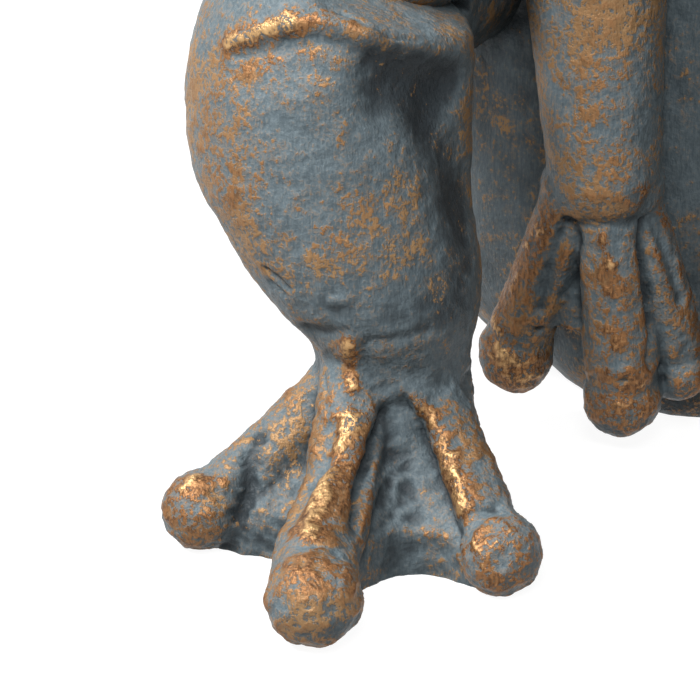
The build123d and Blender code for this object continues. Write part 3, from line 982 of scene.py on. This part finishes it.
@dataclass
class Leg:
    """Calf with its knee and the webbed foot, modelled as one and parted at the ankle, and the thigh."""

    voxel_mm: float = 1.1
    rounds: int = 16
    thigh_voxel_mm: float = 1.6
    thigh_rounds: int = 6
    ankle_mm: float = 66.0
    calf: tuple[Oval, ...] = (
        Oval(30, -131, -178, 34, 30),
        Oval(58, -131, -177, 30, 29),
        Oval(68, -131.5, -176, 30.5, 29),
        Oval(76, -132, -174, 32.5, 31),
        Oval(85, -135, -172, 38, 36),
        Oval(94, -139, -170, 42.5, 41),
        Oval(105, -143.5, -167, 46, 44),
        Oval(120, -149, -163, 49, 48),
        Oval(137, -154, -158, 53, 51),
        Oval(158, -156, -153, 55, 53),
        Oval(180, -155, -150, 55, 53),
        Oval(200, -154, -148, 51, 50),
        Oval(213, -152, -147, 45, 46),
        Oval(223, -153, -146, 38, 40),
        Oval(230, -156, -146, 26, 30),
        Oval(233, -158, -146, 10, 12),
    )
    toes: tuple[Digit, ...] = (
        Digit(
            ((-148, -178, 62, 13), (-172, -187, 38, 13.5), (-194, -197, 21, 14), (-201, -201, 15.8, 15.2)),
            (-204.7, -203, 15.3),
            15.6,
        ),
        Digit(
            ((-146, -189, 70, 13), (-151, -219, 35, 14), (-160, -252, 21, 15.8), (-161, -270, 17.5, 17.2)),
            (-161, -281, 17.3),
            17.6,
            (1.04, 1.08, 1.0),
        ),
        Digit(
            ((-119, -184, 62, 13), (-107, -204, 38, 13.2), (-97, -228, 20, 13), (-93.5, -234, 16, 14.4)),
            (-91, -240, 15.0),
            15.3,
        ),
    )
    web_root_mm: float = 58.0
    web_drop_mm: float = 80.0
    outer_root: tuple[float, float] = (-142, -183)
    outer_web: tuple[tuple[float, float], ...] = (
        (-199, -205),
        (-190, -212),
        (-178, -215),
        (-163, -219),
        (-152, -225),
    )
    inner_root: tuple[float, float] = (-131, -190)
    inner_web: tuple[tuple[float, float], ...] = (
        (-152, -250),
        (-141, -238),
        (-133, -230),
        (-124, -228),
        (-112, -231),
        (-97, -241),
    )
    web_edge_mm: float = 18.5
    heel: tuple[float, float, float] = (-131, -166, 24)
    heel_mm: float = 30.0
    heel_stretch: tuple[float, float, float] = (1.05, 0.95, 0.85)
    thigh: Bends = ((-94, -6, 184, 40), (-150, -140, 191, 35))
    # Fold on the knee: its height at a place, how it falls along X and Y, and how softly it bends
    fold_mm: float = 209.0
    fold_place: tuple[float, float] = (-160, -190)
    fold_fall: tuple[float, float] = (0.34, 0.04)
    fold_soft_mm: float = 8.0
    fold_smooth: tuple[float, float] = (186, 14)
    fold_rounds: int = 24
    # Its rise to the outer side of the knee, and to the hip
    outer_from: tuple[float, float] = (150, 45)
    outer_rise_mm: float = 60.0
    hip_from: tuple[float, float] = (-118, 30)
    hip_rise_mm: float = 40.0
    hip_most: float = 4.0
    thigh_drop_mm: float = 3.0
    # Less rubbed bronze all over the thigh, where it is sheltered, and darker paint there as painted shade
    thigh_shelter_and_shade: float = -0.6
    # Size and height of the unevenness, and of the creases below a height
    grains: Grains = ((44, 1.8), (16, 0.5), (5, 0.22))
    thigh_grains: Grains = ((22, 1.0), (6, 0.4))
    creases: tuple[float, float, float] = (9, 0.32, 72)
    strokes: tuple[Stroke, ...] = (
        # Hollow below the fold of the thigh, and the calf's inner side that falls away, darkened with the
        # calf's lower edge as painted shade
        Stroke(((400, 92), (440, 96)), 17, -9.0, -0.5),
        Stroke(((405, 78), (435, 83), (462, 88)), 8, -7.0, -0.5),
        Stroke(((452, 135), (465, 190)), 17, -7.0, -0.35),
        Stroke(((466, 215), (469, 260), (466, 310)), 13, 0.0, -0.5),
        Stroke(((425, 120), (444, 170), (452, 230), (450, 290)), 20, 0.0, -0.3),
        Stroke(((330, 312), (380, 322), (440, 318)), 8, 0.0, -0.5),
        # Fold of the thigh over the calf
        Stroke(((370, 38), (386, 48), (411, 53), (438, 59), (466, 61)), 6.5, 3.0, -0.5),
        Stroke(((374, 64), (398, 71), (430, 76), (464, 79)), 5.0, -4.0),
        Stroke(((310, 10), (332, 10), (348, 17), (367, 27), (392, 36), (419, 38)), 1.5, -1.4),
        # Ledge on the knee, with the brushed hollow below it
        Stroke(((231, 42), (253, 36), (275, 29), (287, 22)), 4.6, 2.4, 0.6),
        Stroke(((236, 54), (261, 50), (281, 45)), 4.0, -2.4),
        Stroke(((292, 26), (321, 23), (343, 27), (364, 36)), 5.5, 2.4),
        Stroke(((289, 41), (316, 37), (343, 42), (364, 51)), 4.6, -2.6),
        Stroke(((240, 75), (275, 68), (300, 62)), 7.0, -1.6),
        # Scratches and pits on the calf
        Stroke(((266, 270), (276, 278), (288, 289)), 1.5, -1.6),
        Stroke(((270, 283), (283, 294)), 1.3, -1.0),
        Stroke(((433, 157), (441, 150)), 1.6, -1.6),
        Stroke(((463, 236), (469, 243)), 1.6, -1.4),
        Stroke(((333, 300), (345, 299)), 2.0, 1.2),
        # Crease where the calf rests on the ankle
        Stroke(((309, 331), (330, 335), (345, 334)), 4.0, -2.6),
        Stroke(((372, 340), (398, 338), (425, 331)), 3.0, -1.4),
        # Tendon down the ankle
        Stroke(((347, 337), (350, 357), (355, 380)), 4.6, 3.2, 0.55),
        Stroke(((362, 345), (364, 362)), 2.6, -1.4),
        # Ridges of the middle and inner toes
        Stroke(((352, 425), (334, 463), (321, 497), (310, 531)), 6.5, 2.6, 0.5),
        Stroke(((410, 397), (434, 414), (447, 449), (459, 480), (464, 506)), 5.5, 2.4, 0.4),
        # Grooves beside the webs
        Stroke(((401, 402), (388, 413), (379, 434), (373, 457), (362, 491), (356, 526)), 3.4, -5.0),
        Stroke(((402, 404), (416, 426), (427, 454), (437, 482), (450, 514), (458, 540)), 3.2, -4.6),
        Stroke(((258, 440), (250, 458), (247, 491), (241, 512)), 4.0, -3.0),
        Stroke(((330, 430), (312, 478), (296, 514)), 4.4, -3.0),
        # Cracks and rings on the toes
        Stroke(((460, 521), (478, 512), (493, 509), (519, 514)), 1.8, -2.0),
        Stroke(((302, 548), (316, 545), (334, 550)), 2.0, -1.4),
        Stroke(((324, 376), (326, 393)), 1.2, -1.0),
        Stroke(((182, 489), (196, 477), (224, 481)), 2.2, 1.2, 0.5),
        # Slate left on the webs
        Stroke(((262, 450), (246, 490), (262, 530)), 13.0, 0.0, -0.55),
        Stroke(((404, 430), (400, 480), (405, 540)), 10.0, 0.0, -0.25),
        # Rubbed patches on the calf, and a band low on it darkened as painted shade
        Stroke(((205, 105), (212, 150), (232, 195)), 13.0, 0.0, 0.3),
        Stroke(((255, 165), (300, 200), (330, 230)), 12.0, 0.0, 0.18),
        Stroke(((365, 195), (392, 212)), 7.0, 0.0, 0.28),
        Stroke(((320, 285), (370, 292), (420, 285)), 12.0, 0.0, -0.3),
        Stroke(((238, 60), (266, 54), (292, 50)), 9.0, 0.0, 0.7),
        # Rubbed backs of the toes and tops of their tips, whose golden tops are partly a painted highlight
        Stroke(((345, 420), (330, 463), (318, 497), (310, 535)), 8.0, 0.0, 0.3),
        Stroke(((425, 415), (445, 460), (458, 500)), 6.0, 0.0, 0.2),
        Stroke(((186, 494), (205, 487)), 7.0, 0.0, 0.35),
        Stroke(((306, 580), (332, 580)), 7.0, 0.0, 0.35),
        Stroke(((480, 545), (508, 538)), 7.0, 0.0, 0.35),
        Stroke(((300, 616), (338, 618)), 9.0, 0.0, -0.5),
    )

    def fold(self, piece: bpy.types.Object, drop_mm: float = 0.0) -> None:
        """Lower the inner side of the knee's top, where the thigh comes over it.

        Args:
            piece: The leg or the thigh.
            drop_mm: How far below the fold the piece stays.
        """
        points = points_of(piece) / MM
        x, y, z = points.T
        rise = ramp(-x, *self.outer_from)
        fall = self.fold_fall[0] * (x - self.fold_place[0]) + self.fold_fall[1] * (y - self.fold_place[1])
        limit = self.fold_mm - drop_mm - fall + self.outer_rise_mm * rise * rise
        start, span = self.hip_from
        limit += np.clip((y - start) / span, 0, self.hip_most) * self.hip_rise_mm
        over = np.maximum(z - limit, 0)
        points[:, 2] = z - over * over / (over + self.fold_soft_mm)
        ease(piece, points, self.fold_rounds, ramp(points[:, 2], *self.fold_smooth))

    def sculpt(self) -> bpy.types.Object:
        """Model the right leg.

        Returns:
            The leg as one object.
        """
        clay = Clay("right_leg_clay")
        clay.column(list(self.calf))
        clay.ball(mm(*self.heel), self.heel_mm, self.heel_stretch)
        for toe in self.toes:
            toe.add_to(clay)
        floor = mm(0, 0, -self.web_drop_mm)
        for root, edge in ((self.outer_root, self.outer_web), (self.inner_root, self.inner_web)):
            rim = [mm(x, y, self.web_edge_mm) for x, y in edge]
            for start, end in zip(rim, rim[1:]):
                clay.web((mm(*root, self.web_root_mm), start, end), floor)
        leg = clay.fuse(self.voxel_mm, self.rounds)
        self.fold(leg)
        draw_strokes(leg, self.strokes)
        roughen(leg, self.grains)
        crumple(leg, *self.creases)
        mark_wear_and_shade(leg)
        return leg

    def build(self, finishes: Finishes) -> None:
        """Part the leg at the ankle, mirror it and dress all four pieces.

        Args:
            finishes: The shared materials.
        """
        leg = self.sculpt()
        ankle = mm(0, 0, self.ankle_mm)
        up = Vector((0, 0, 1))
        low = cut(leg, "right_foot_low", ankle, up)
        foot = cut(low, "right_foot_skin", Vector((0, 0, 0)), -up)
        calf = cut(leg, "right_calf_skin", ankle, -up)
        dress_pair(foot, "foot", finishes)
        dress_pair(calf, "calf", finishes)
        discard(low)
        discard(leg)
        self._thigh(finishes)

    def _thigh(self, finishes: Finishes) -> None:
        """Model the right thigh, mirror it and dress both.

        Args:
            finishes: The shared materials.
        """
        clay = Clay("right_thigh_skin")
        clay.limb(self.thigh)
        thigh = clay.fuse(self.thigh_voxel_mm, self.thigh_rounds)
        self.fold(thigh, self.thigh_drop_mm)
        roughen(thigh, self.thigh_grains)
        mark_wear_and_shade(thigh)
        add_wear_and_shade(thigh, np.full(len(thigh.data.vertices), self.thigh_shelter_and_shade))
        dress_pair(thigh, "thigh", finishes)


@dataclass
class Arm:
    """Hanging arm and its webbed hand, modelled as one and parted at the wrist."""

    voxel_mm: float = 1.1
    rounds: int = 12
    wrist_mm: float = 111.0
    fingers: tuple[Digit, ...] = (
        Digit(
            ((-57, -112, 114, 14.5), (-68, -103, 78, 12.5), (-78, -94, 44, 13)),
            (-80, -92, 33),
            15.6,
            (1, 1, 1.12),
        ),
        Digit(((-47, -114, 114, 14), (-43, -116, 78, 14), (-39, -115, 36, 14.6)), (-38.5, -114, 22), 16.2),
        Digit(
            ((-40, -112, 114, 13.5), (-27, -110, 78, 11.5), (-16.5, -105, 42, 11)),
            (-15.2, -104, 30),
            12.4,
        ),
    )
    # Shoulder, elbow and wrist, and the back of the hand
    arm: Bends = ((-64, -72, 296, 30.5), (-53, -96, 210, 28.5), (-48, -113, 120, 22.5))
    palm: Bends = ((-56, -111, 113, 17), (-39, -111, 113, 16))
    webs: tuple[tuple[tuple[float, float, float], ...], ...] = (
        ((-51, -117, 118), (-73, -101, 50), (-44, -117, 48)),
        ((-46, -117, 118), (-40, -117, 48), (-21, -110, 50)),
    )
    web_mm: float = 12.0
    grains: Grains = ((30, 1.1), (13, 0.5), (5, 0.22))
    creases: tuple[float, float, float] = (9, 0.22, 120)
    strokes: tuple[Stroke, ...] = (
        # Grooves beside the webs
        Stroke(((566, 224), (556, 250), (545, 285), (540, 310)), 3.0, -3.4),
        Stroke(((572, 224), (578, 245), (579, 280), (580, 320)), 2.6, -2.6),
        Stroke(((648, 221), (644, 248), (648, 290), (652, 331), (650, 360)), 2.6, -4.6),
        Stroke(((655, 224), (670, 260), (682, 300)), 2.6, -2.4),
        # Rubbed patches on the forearm
        Stroke(((600, 20), (590, 90), (615, 150)), 14.0, 0.0, 0.2),
        # Knuckles and rings on the fingers, and bronze rubbed on the fingers and their tips, partly real
        # rubbing and partly painted light where the calf's shadow falls on the hand
        Stroke(((604, 236), (610, 262)), 3.0, 1.6, 0.4),
        Stroke(((592, 369), (625, 371), (659, 369)), 2.0, 1.2),
        Stroke(((590, 379), (625, 381), (662, 378)), 1.6, -1.6),
        Stroke(((495, 318), (503, 335), (508, 350)), 4.0, 1.6, 0.5),
        Stroke(((548, 212), (526, 252), (503, 300)), 6.0, 0.0, 0.55),
        Stroke(((640, 190), (665, 215), (690, 245)), 4.0, 0.0, 0.4),
        Stroke(((612, 280), (615, 345)), 6.0, 0.0, 0.4),
        Stroke(((608, 396), (636, 396)), 8.0, 0.0, 0.6),
        Stroke(((498, 352), (528, 378)), 9.0, 0.0, 0.65),
        Stroke(((541, 330),), 2.2, -3.0),
    )

    def sculpt(self) -> bpy.types.Object:
        """Model the right arm.

        Returns:
            The arm as one object.
        """
        clay = Clay("right_arm_clay")
        clay.limb(self.arm)
        clay.limb(self.palm)
        for finger in self.fingers:
            finger.add_to(clay)
        for corners in self.webs:
            clay.web(tuple(mm(*corner) for corner in corners), mm(0, self.web_mm, 0))
        arm = clay.fuse(self.voxel_mm, self.rounds)
        draw_strokes(arm, self.strokes)
        roughen(arm, self.grains)
        crumple(arm, *self.creases)
        mark_wear_and_shade(arm)
        return arm

    def build(self, finishes: Finishes) -> None:
        """Part the arm at the wrist, mirror it and dress all four pieces.

        Args:
            finishes: The shared materials.
        """
        arm = self.sculpt()
        wrist = mm(0, 0, self.wrist_mm)
        up = Vector((0, 0, 1))
        for name, away in (("hand", up), ("arm", -up)):
            dress_pair(cut(arm, f"right_{name}_skin", wrist, away), name, finishes)
        discard(arm)


@dataclass
class Body:
    """Torso, head and eyes, modelled as one and parted at the neck, the mouth and behind the hips."""

    voxel_mm: float = 2.0
    rounds: int = 9
    join_rounds: int = 80
    neck_mm: float = 335.3
    mouth_mm: float = 381.3
    seam_mm: float = 30.0
    eye: tuple[float, float, float] = (66, -74, 425.3)
    eye_mm: float = 30.0
    eye_voxel_mm: float = 1.2
    eye_rounds: int = 3
    plate_room_mm: float = 0.4
    # The lid: the way it lies, where its edge is, its thickness as a share of the eye and how sharp it is
    lid_way: tuple[float, float, float] = (-0.25, 0.35, 0.9)
    lid_edge: float = 0.2
    lid_share: float = 0.055
    lid_sharp: float = 40.0
    # The slit of the pupil: the way the eye looks, half its length, and its mark
    look: tuple[float, float, float] = (0.72, -0.67, 0.12)
    pupil_mm: float = 4.5
    pupil: tuple[float, float, float] = (3.6, -1.4, -0.8)
    pupil_steps: int = 4
    brow_mm: float = 4.0
    brow_drop_mm: float = 6.0
    brow_stretch: tuple[float, float, float] = (1.05, 1.05, 0.85)
    # Less rubbed bronze all over the body, where it is sheltered, and darker paint there as painted shade
    shelter_and_shade: float = -0.4
    grains: Grains = ((24, 1.0), (7, 0.4))
    # Half width and height of the nostrils and their rims, and of the lips' groove and ridge with their rub
    nostril: tuple[float, float, float] = (15, -171, 406)
    nostril_hole: tuple[float, float] = (3.4, -3.4)
    nostril_rim: tuple[float, float] = (5.0, 1.2)
    nostril_rise_mm: float = 3.0
    lip_groove: tuple[float, float, float] = (3.6, -4.5, -0.6)
    lip_ridge: tuple[float, float, float] = (4.5, 1.8, 0.3)
    lip_lift_mm: float = 7.0
    # The lips' line: steps to each side, half width and depth of its bow, its middle and how it rises
    mouth_steps: int = 24
    mouth_step_deg: float = 3.4
    mouth_half_width: float = 122.0
    mouth_half_depth: float = 112.0
    mouth_y: float = -65.0
    mouth_lift_mm: float = 4.0
    corner_rise_mm: float = 9.0
    lip_wave_mm: float = 3.0
    lip_waves: int = 4
    # Groove along the spine and a ridge on each side of it
    spine_groove: tuple[float, float] = (9, -1.8)
    spine_span: tuple[float, float] = (50, 300)
    back_ridge: tuple[float, float] = (7, 2.0)
    back_ridge_x: float = 48.0
    back_ridge_span: tuple[float, float] = (110, 300)
    # Bars that fill the flank from the knee to the torso, and the nape at its sides and middle
    flank: tuple[Bends, ...] = (
        ((131, -122, 224, 36), (70, -50, 284, 36)),
        ((122, -100, 216, 34), (78, -10, 205, 46)),
        ((120, -100, 226, 36), (74, -14, 228, 47)),
        ((118, -98, 233, 37), (68, -18, 252, 46)),
        ((122, -106, 230, 36), (66, -34, 274, 42)),
    )
    nape_side: Bends = ((30, -12, 392, 51), (30, 8, 296, 62))
    nape: Bends = ((0, -10, 392, 53), (0, 10, 296, 63))
    # Where the flanks and the nape are smoothed: start and span of each rise, with the sign of its way
    flank_out: tuple[float, float] = (58, 14)
    flank_front: tuple[float, float] = (-112, 24)
    flank_back: tuple[float, float] = (-64, 30)
    flank_low: tuple[float, float] = (140, 20)
    flank_top: tuple[float, float] = (-330, 20)
    nape_front: tuple[float, float] = (-8, 16)
    nape_low: tuple[float, float] = (258, 24)
    nape_top: tuple[float, float] = (-416, 24)
    torso: tuple[Oval, ...] = (
        Oval(0, 0, 16, 84, 66),
        Oval(10, 0, 14, 96, 80),
        Oval(33, 0, 10, 108, 95),
        Oval(80, 0, 8, 115, 103),
        Oval(141, 0, 10, 115, 101),
        Oval(201, 0, 10, 110, 97),
        Oval(255, 0, 4, 103, 90),
        Oval(301, 0, -8, 92, 81),
        Oval(340, 0, -21, 80, 70),
    )
    belly: tuple[Oval, ...] = (
        Oval(-6, 0, -6, 60, 72),
        Oval(4, 0, -8, 70, 82),
        Oval(20, 0, -8, 80, 87),
        Oval(50, 0, -4, 88, 90),
        Oval(90, 0, 2, 92, 92),
        Oval(150, 0, 8, 88, 92),
        Oval(190, 0, 10, 70, 80),
    )
    head: tuple[Oval, ...] = (
        Oval(330, 0, -18, 78, 68),
        Oval(348.5, 0, -39, 95.5, 86.6),
        Oval(366, 0, -59, 115, 106),
        Oval(381.5, 0, -66, 123, 113),
        Oval(397, 0, -64, 120, 110.5),
        Oval(414.5, 0, -55, 106.6, 100),
        Oval(431, 0, -43, 82, 78.6),
        Oval(441, 0, -36.5, 54.5, 53.6),
        Oval(444.8, 0, -34, 25, 25),
    )

    def sculpt(self) -> bpy.types.Object:
        """Model the torso and head.

        Returns:
            Both as one object.
        """
        clay = Clay("body_clay")
        clay.column(list(self.torso))
        clay.column(list(self.belly))
        clay.column(list(self.head))
        x, y, z = self.eye
        for side in Side:
            for bar in (*self.flank, self.nape_side):
                clay.limb(bar, side.value)
            brow = mm(side.value * x, y + self.brow_mm, z - self.brow_drop_mm)
            clay.ball(brow, self.eye_mm + self.brow_mm, self.brow_stretch)
        clay.limb(self.nape)
        body = clay.fuse(self.voxel_mm, self.rounds)
        self.smooth_joins(body)
        press(body, self.mouth_line(), *self.lip_groove)
        press(body, self.mouth_line(self.lip_lift_mm), *self.lip_ridge)
        x, y, z = self.nostril
        for side in Side:
            press(body, [np.array(mm(side.value * x, y, z))], *self.nostril_hole)
            above = mm(side.value * x, y + self.nostril_rise_mm, z + self.nostril_rise_mm)
            press(body, [np.array(above)], *self.nostril_rim)
        press(body, self.back_line(0, *self.spine_span), *self.spine_groove)
        for side in Side:
            ridge = self.back_line(side.value * self.back_ridge_x, *self.back_ridge_span)
            press(body, ridge, *self.back_ridge)
        roughen(body, self.grains)
        mark_wear_and_shade(body)
        add_wear_and_shade(body, np.full(len(body.data.vertices), self.shelter_and_shade))
        return body

    def smooth_joins(self, body: bpy.types.Object) -> None:
        """Smooth the nape, and the flanks where they come out of the torso, but not the flanks' tips.

        Args:
            body: The torso and head.
        """
        points = points_of(body) / MM
        out, y, z = np.abs(points[:, 0]), points[:, 1], points[:, 2]
        flank = ramp(out, *self.flank_out) * ramp(y, *self.flank_front) * ramp(-y, *self.flank_back)
        flank *= ramp(z, *self.flank_low) * ramp(-z, *self.flank_top)
        nape = ramp(y, *self.nape_front) * ramp(z, *self.nape_low) * ramp(-z, *self.nape_top)
        ease(body, points, self.join_rounds, np.maximum(flank, nape))

    def mouth_line(self, lift_mm: float = 0.0) -> list[np.ndarray]:
        """Line of the lips round the front of the head.

        Args:
            lift_mm: How far above the lips the line runs.

        Returns:
            Closely spaced places in metres.
        """
        line = []
        for step in range(-self.mouth_steps, self.mouth_steps + 1):
            turn = math.radians(step * self.mouth_step_deg)
            wave = self.lip_wave_mm * (math.cos(turn * self.lip_waves) - 1)
            rise = self.corner_rise_mm * (step / self.mouth_steps) ** 2 + wave
            x = self.mouth_half_width * math.sin(turn)
            y = self.mouth_y - self.mouth_half_depth * math.cos(turn)
            line.append(np.array(mm(x, y, self.mouth_mm + self.mouth_lift_mm + rise + lift_mm)))
        return drawn_out(line, steps=5)

    def back_line(self, x: float, low: float, high: float) -> list[np.ndarray]:
        """Line up the torso's back.

        Args:
            x: How far from the middle it runs, in millimetres.
            low: Height of its lower end.
            high: Height of its upper end.

        Returns:
            Closely spaced places in metres.
        """
        spots = []
        for oval in faired(list(self.torso)):
            if low <= oval.height <= high:
                deep = oval.half_depth * math.sqrt(1 - (x / oval.half_width) ** 2)
                spots.append(np.array(mm(x, oval.y + deep, oval.height)))
        return drawn_out(spots, steps=6)

    def recess(self, torso: bpy.types.Object) -> None:
        """Cut the place for the seat plate into the torso's underside.

        Args:
            torso: The torso, flat underneath.
        """
        low, high = (Vector(corner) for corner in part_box("seat_plate"))
        size = high - low
        room = self.plate_room_mm * MM
        place = Vector(((low.x + high.x) / 2, (low.y + high.y) / 2, 0))
        bpy.ops.object.select_all(action="DESELECT")
        depth = 2 * (size.z + room)
        bpy.ops.mesh.primitive_cylinder_add(vertices=PLATE_SEGMENTS, radius=0.5, depth=depth, location=place)
        plug = bpy.context.object
        plug.scale = (size.x + 2 * room, size.y + 2 * room, 1)
        bpy.ops.object.transform_apply(location=True, rotation=True, scale=True)
        pick(torso)
        sink = torso.modifiers.new("sink", "BOOLEAN")
        sink.operation = "DIFFERENCE"
        sink.solver = "EXACT"
        sink.object = plug
        bpy.ops.object.modifier_apply(modifier=sink.name)
        discard(plug)

    def eyeball(self, side: Side) -> bpy.types.Object:
        """Model an eye with its lid.

        Args:
            side: Which eye.

        Returns:
            The eye.
        """
        x, y, z = self.eye
        clay = Clay(f"{side.word}_eye_skin")
        clay.ball(mm(side.value * x, y, z), self.eye_mm)
        eye = clay.fuse(self.eye_voxel_mm, self.eye_rounds)
        middle = np.array(mm(side.value * x, y, z))
        away = points_of(eye) - middle
        turn = np.array((side.value, 1, 1))
        lid = away @ (self.lid_way * turn) / (self.eye_mm * MM)
        shrink = 1 - self.lid_share / (1 + np.exp((lid - self.lid_edge) * self.lid_sharp))
        set_points(eye, middle + away * shrink[:, None])
        look = self.look * turn * self.eye_mm * MM
        across = np.array((-self.look[1], side.value * self.look[0], 0.0)) * self.pupil_mm * MM
        steps = range(-self.pupil_steps, self.pupil_steps + 1)
        press(eye, [middle + look + across * step / self.pupil_steps for step in steps], *self.pupil)
        mark_wear_and_shade(eye)
        return eye

    def build(self, finishes: Finishes) -> None:
        """Part the body into its shells and dress them and the eyes.

        Args:
            finishes: The shared materials.
        """
        body = self.sculpt()
        up, back = Vector((0, 0, 1)), Vector((0, 1, 0))
        neck, mouth, seam = mm(0, 0, self.neck_mm), mm(0, 0, self.mouth_mm), mm(0, self.seam_mm, 0)
        below = cut(body, "torso_whole", neck, up)
        torso = cut(below, "torso_flat", Vector((0, 0, 0)), -up)
        self.recess(torso)
        head = cut(body, "head_whole", neck, -up)
        parts = (
            (torso, "torso_front_shell", seam, back),
            (torso, "torso_back_shell", seam, -back),
            (head, "head_lower_shell", mouth, up),
            (head, "head_upper_shell", mouth, -up),
        )
        for whole, name, place, away in parts:
            piece = cut(whole, f"{name}_skin", place, away)
            dress(piece, name, finishes.casting)
        for whole in (below, torso, head, body):
            discard(whole)
        for side in Side:
            dress(self.eyeball(side), f"{side.word}_eye", finishes.casting)


@dataclass
class HiddenPieces:
    """Dowels and the seat plate, which keep the model's own solids."""

    joints: tuple[str, ...] = ("neck", "shoulder", "wrist", "hip", "knee", "ankle")

    def dress(self, finishes: Finishes) -> None:
        """Give the carried-over solids their materials.

        Args:
            finishes: The shared materials.
        """
        dowels = [(f"{joint}_dowels", finishes.steel) for joint in self.joints]
        for name, material in (*dowels, ("seat_plate", finishes.bare)):
            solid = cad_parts[name]
            solid.data.materials.clear()
            solid.data.materials.append(material)


@dataclass(frozen=True)
class Lamp:
    """A square soft lamp, placed from the point that the camera looks at."""

    name: str
    offset_m: tuple[float, float, float]
    size_m: float
    watts: float

    def build(self, aim: Vector) -> None:
        """Add the lamp.

        Args:
            aim: What it points at.
        """
        data = bpy.data.lights.new(self.name, "AREA")
        data.size = self.size_m
        data.energy = self.watts
        lamp = bpy.data.objects.new(self.name, data)
        bpy.context.scene.collection.objects.link(lamp)
        lamp.location = aim + Vector(self.offset_m)
        lamp.rotation_euler = (aim - lamp.location).to_track_quat("-Z", "Y").to_euler()


@dataclass
class Studio:
    """Pale floor, soft lamps and white surroundings."""

    lamps: tuple[Lamp, ...] = (
        Lamp("key_lamp", (-1.0, -1.05, 1.6), 0.45, 38.0),
        Lamp("side_lamp", (-1.15, 0.05, 1.6), 0.6, 33.0),
        Lamp("back_lamp", (1.3, 1.0, 1.45), 0.8, 22.0),
        Lamp("front_lamp", (0.05, -1.4, 1.55), 0.6, 21.0),
    )
    floor_m: float = 14.0
    floor_colour: str = "#727272"
    floor_lift: float = 0.94
    sky: float = 0.02

    def build(self) -> None:
        """Add the floor, the lamps and the world."""
        self._floor()
        self._world()
        aim = mm(*VIEW.aim_mm)
        for lamp in self.lamps:
            lamp.build(aim)

    def _seen(self, tree: bpy.types.NodeTree) -> Socket:
        """Find the rays that look at the surroundings directly, in a reflection or through glass.

        Args:
            tree: The material's or the world's nodes.

        Returns:
            An output that is one for those rays and nought for the rest.
        """
        paths = node(tree, "ShaderNodeLightPath").outputs
        most = {"operation": "MAXIMUM"}
        bright = node(tree, "ShaderNodeMath", most, in_0=paths["Is Camera Ray"], in_1=paths["Is Glossy Ray"])
        through = paths["Is Transmission Ray"]
        return node(tree, "ShaderNodeMath", most, in_0=bright.outputs[0], in_1=through).outputs[0]

    def _floor(self) -> None:
        """Add a plain floor that looks white to the camera and still takes shadows."""
        bpy.ops.object.select_all(action="DESELECT")
        bpy.ops.mesh.primitive_plane_add(size=self.floor_m)
        floor = bpy.context.object
        floor.name = "studio_floor"
        made = blank_material("matte_white_floor")
        tree = made.node_tree
        raised = {"operation": "MULTIPLY", 1: self.floor_lift}
        lift = node(tree, "ShaderNodeMath", raised, in_0=self._seen(tree))
        glow = node(tree, "ShaderNodeEmission", Strength=lift.outputs[0])
        matte = node(tree, "ShaderNodeBsdfDiffuse", {"Color": linear(self.floor_colour)})
        both = node(tree, "ShaderNodeAddShader", in_0=matte.outputs[0], in_1=glow.outputs[0])
        node(tree, "ShaderNodeOutputMaterial", Surface=both.outputs[0])
        floor.data.materials.append(made)

    def _world(self) -> None:
        """Light the scene evenly from all round, and show white where the camera looks past the floor."""
        world = bpy.data.worlds.new("studio_white")
        bpy.context.scene.world = world
        world.use_nodes = True
        tree = world.node_tree
        tree.nodes.clear()
        strength = node(tree, "ShaderNodeMapRange", {3: self.sky, 4: 1.0}, Value=self._seen(tree))
        glow = node(tree, "ShaderNodeBackground", {"Color": (1, 1, 1, 1)}, Strength=strength.outputs[0])
        node(tree, "ShaderNodeOutputWorld", Surface=glow.outputs[0])


def main() -> None:
    """Build the figurine's skins, its finishes and the studio."""
    logging.basicConfig(level=logging.INFO, format="%(name)s: %(message)s")
    bpy.context.scene.view_settings.view_transform = "Standard"
    finishes = Finishes(RubbedCasting().material(), BareCasting().material(), DowelSteel().material())
    VIEW.build()
    Leg().build(finishes)
    Arm().build(finishes)
    Body().build(finishes)
    HiddenPieces().dress(finishes)
    Studio().build()


if __name__ == "__main__":
    main()
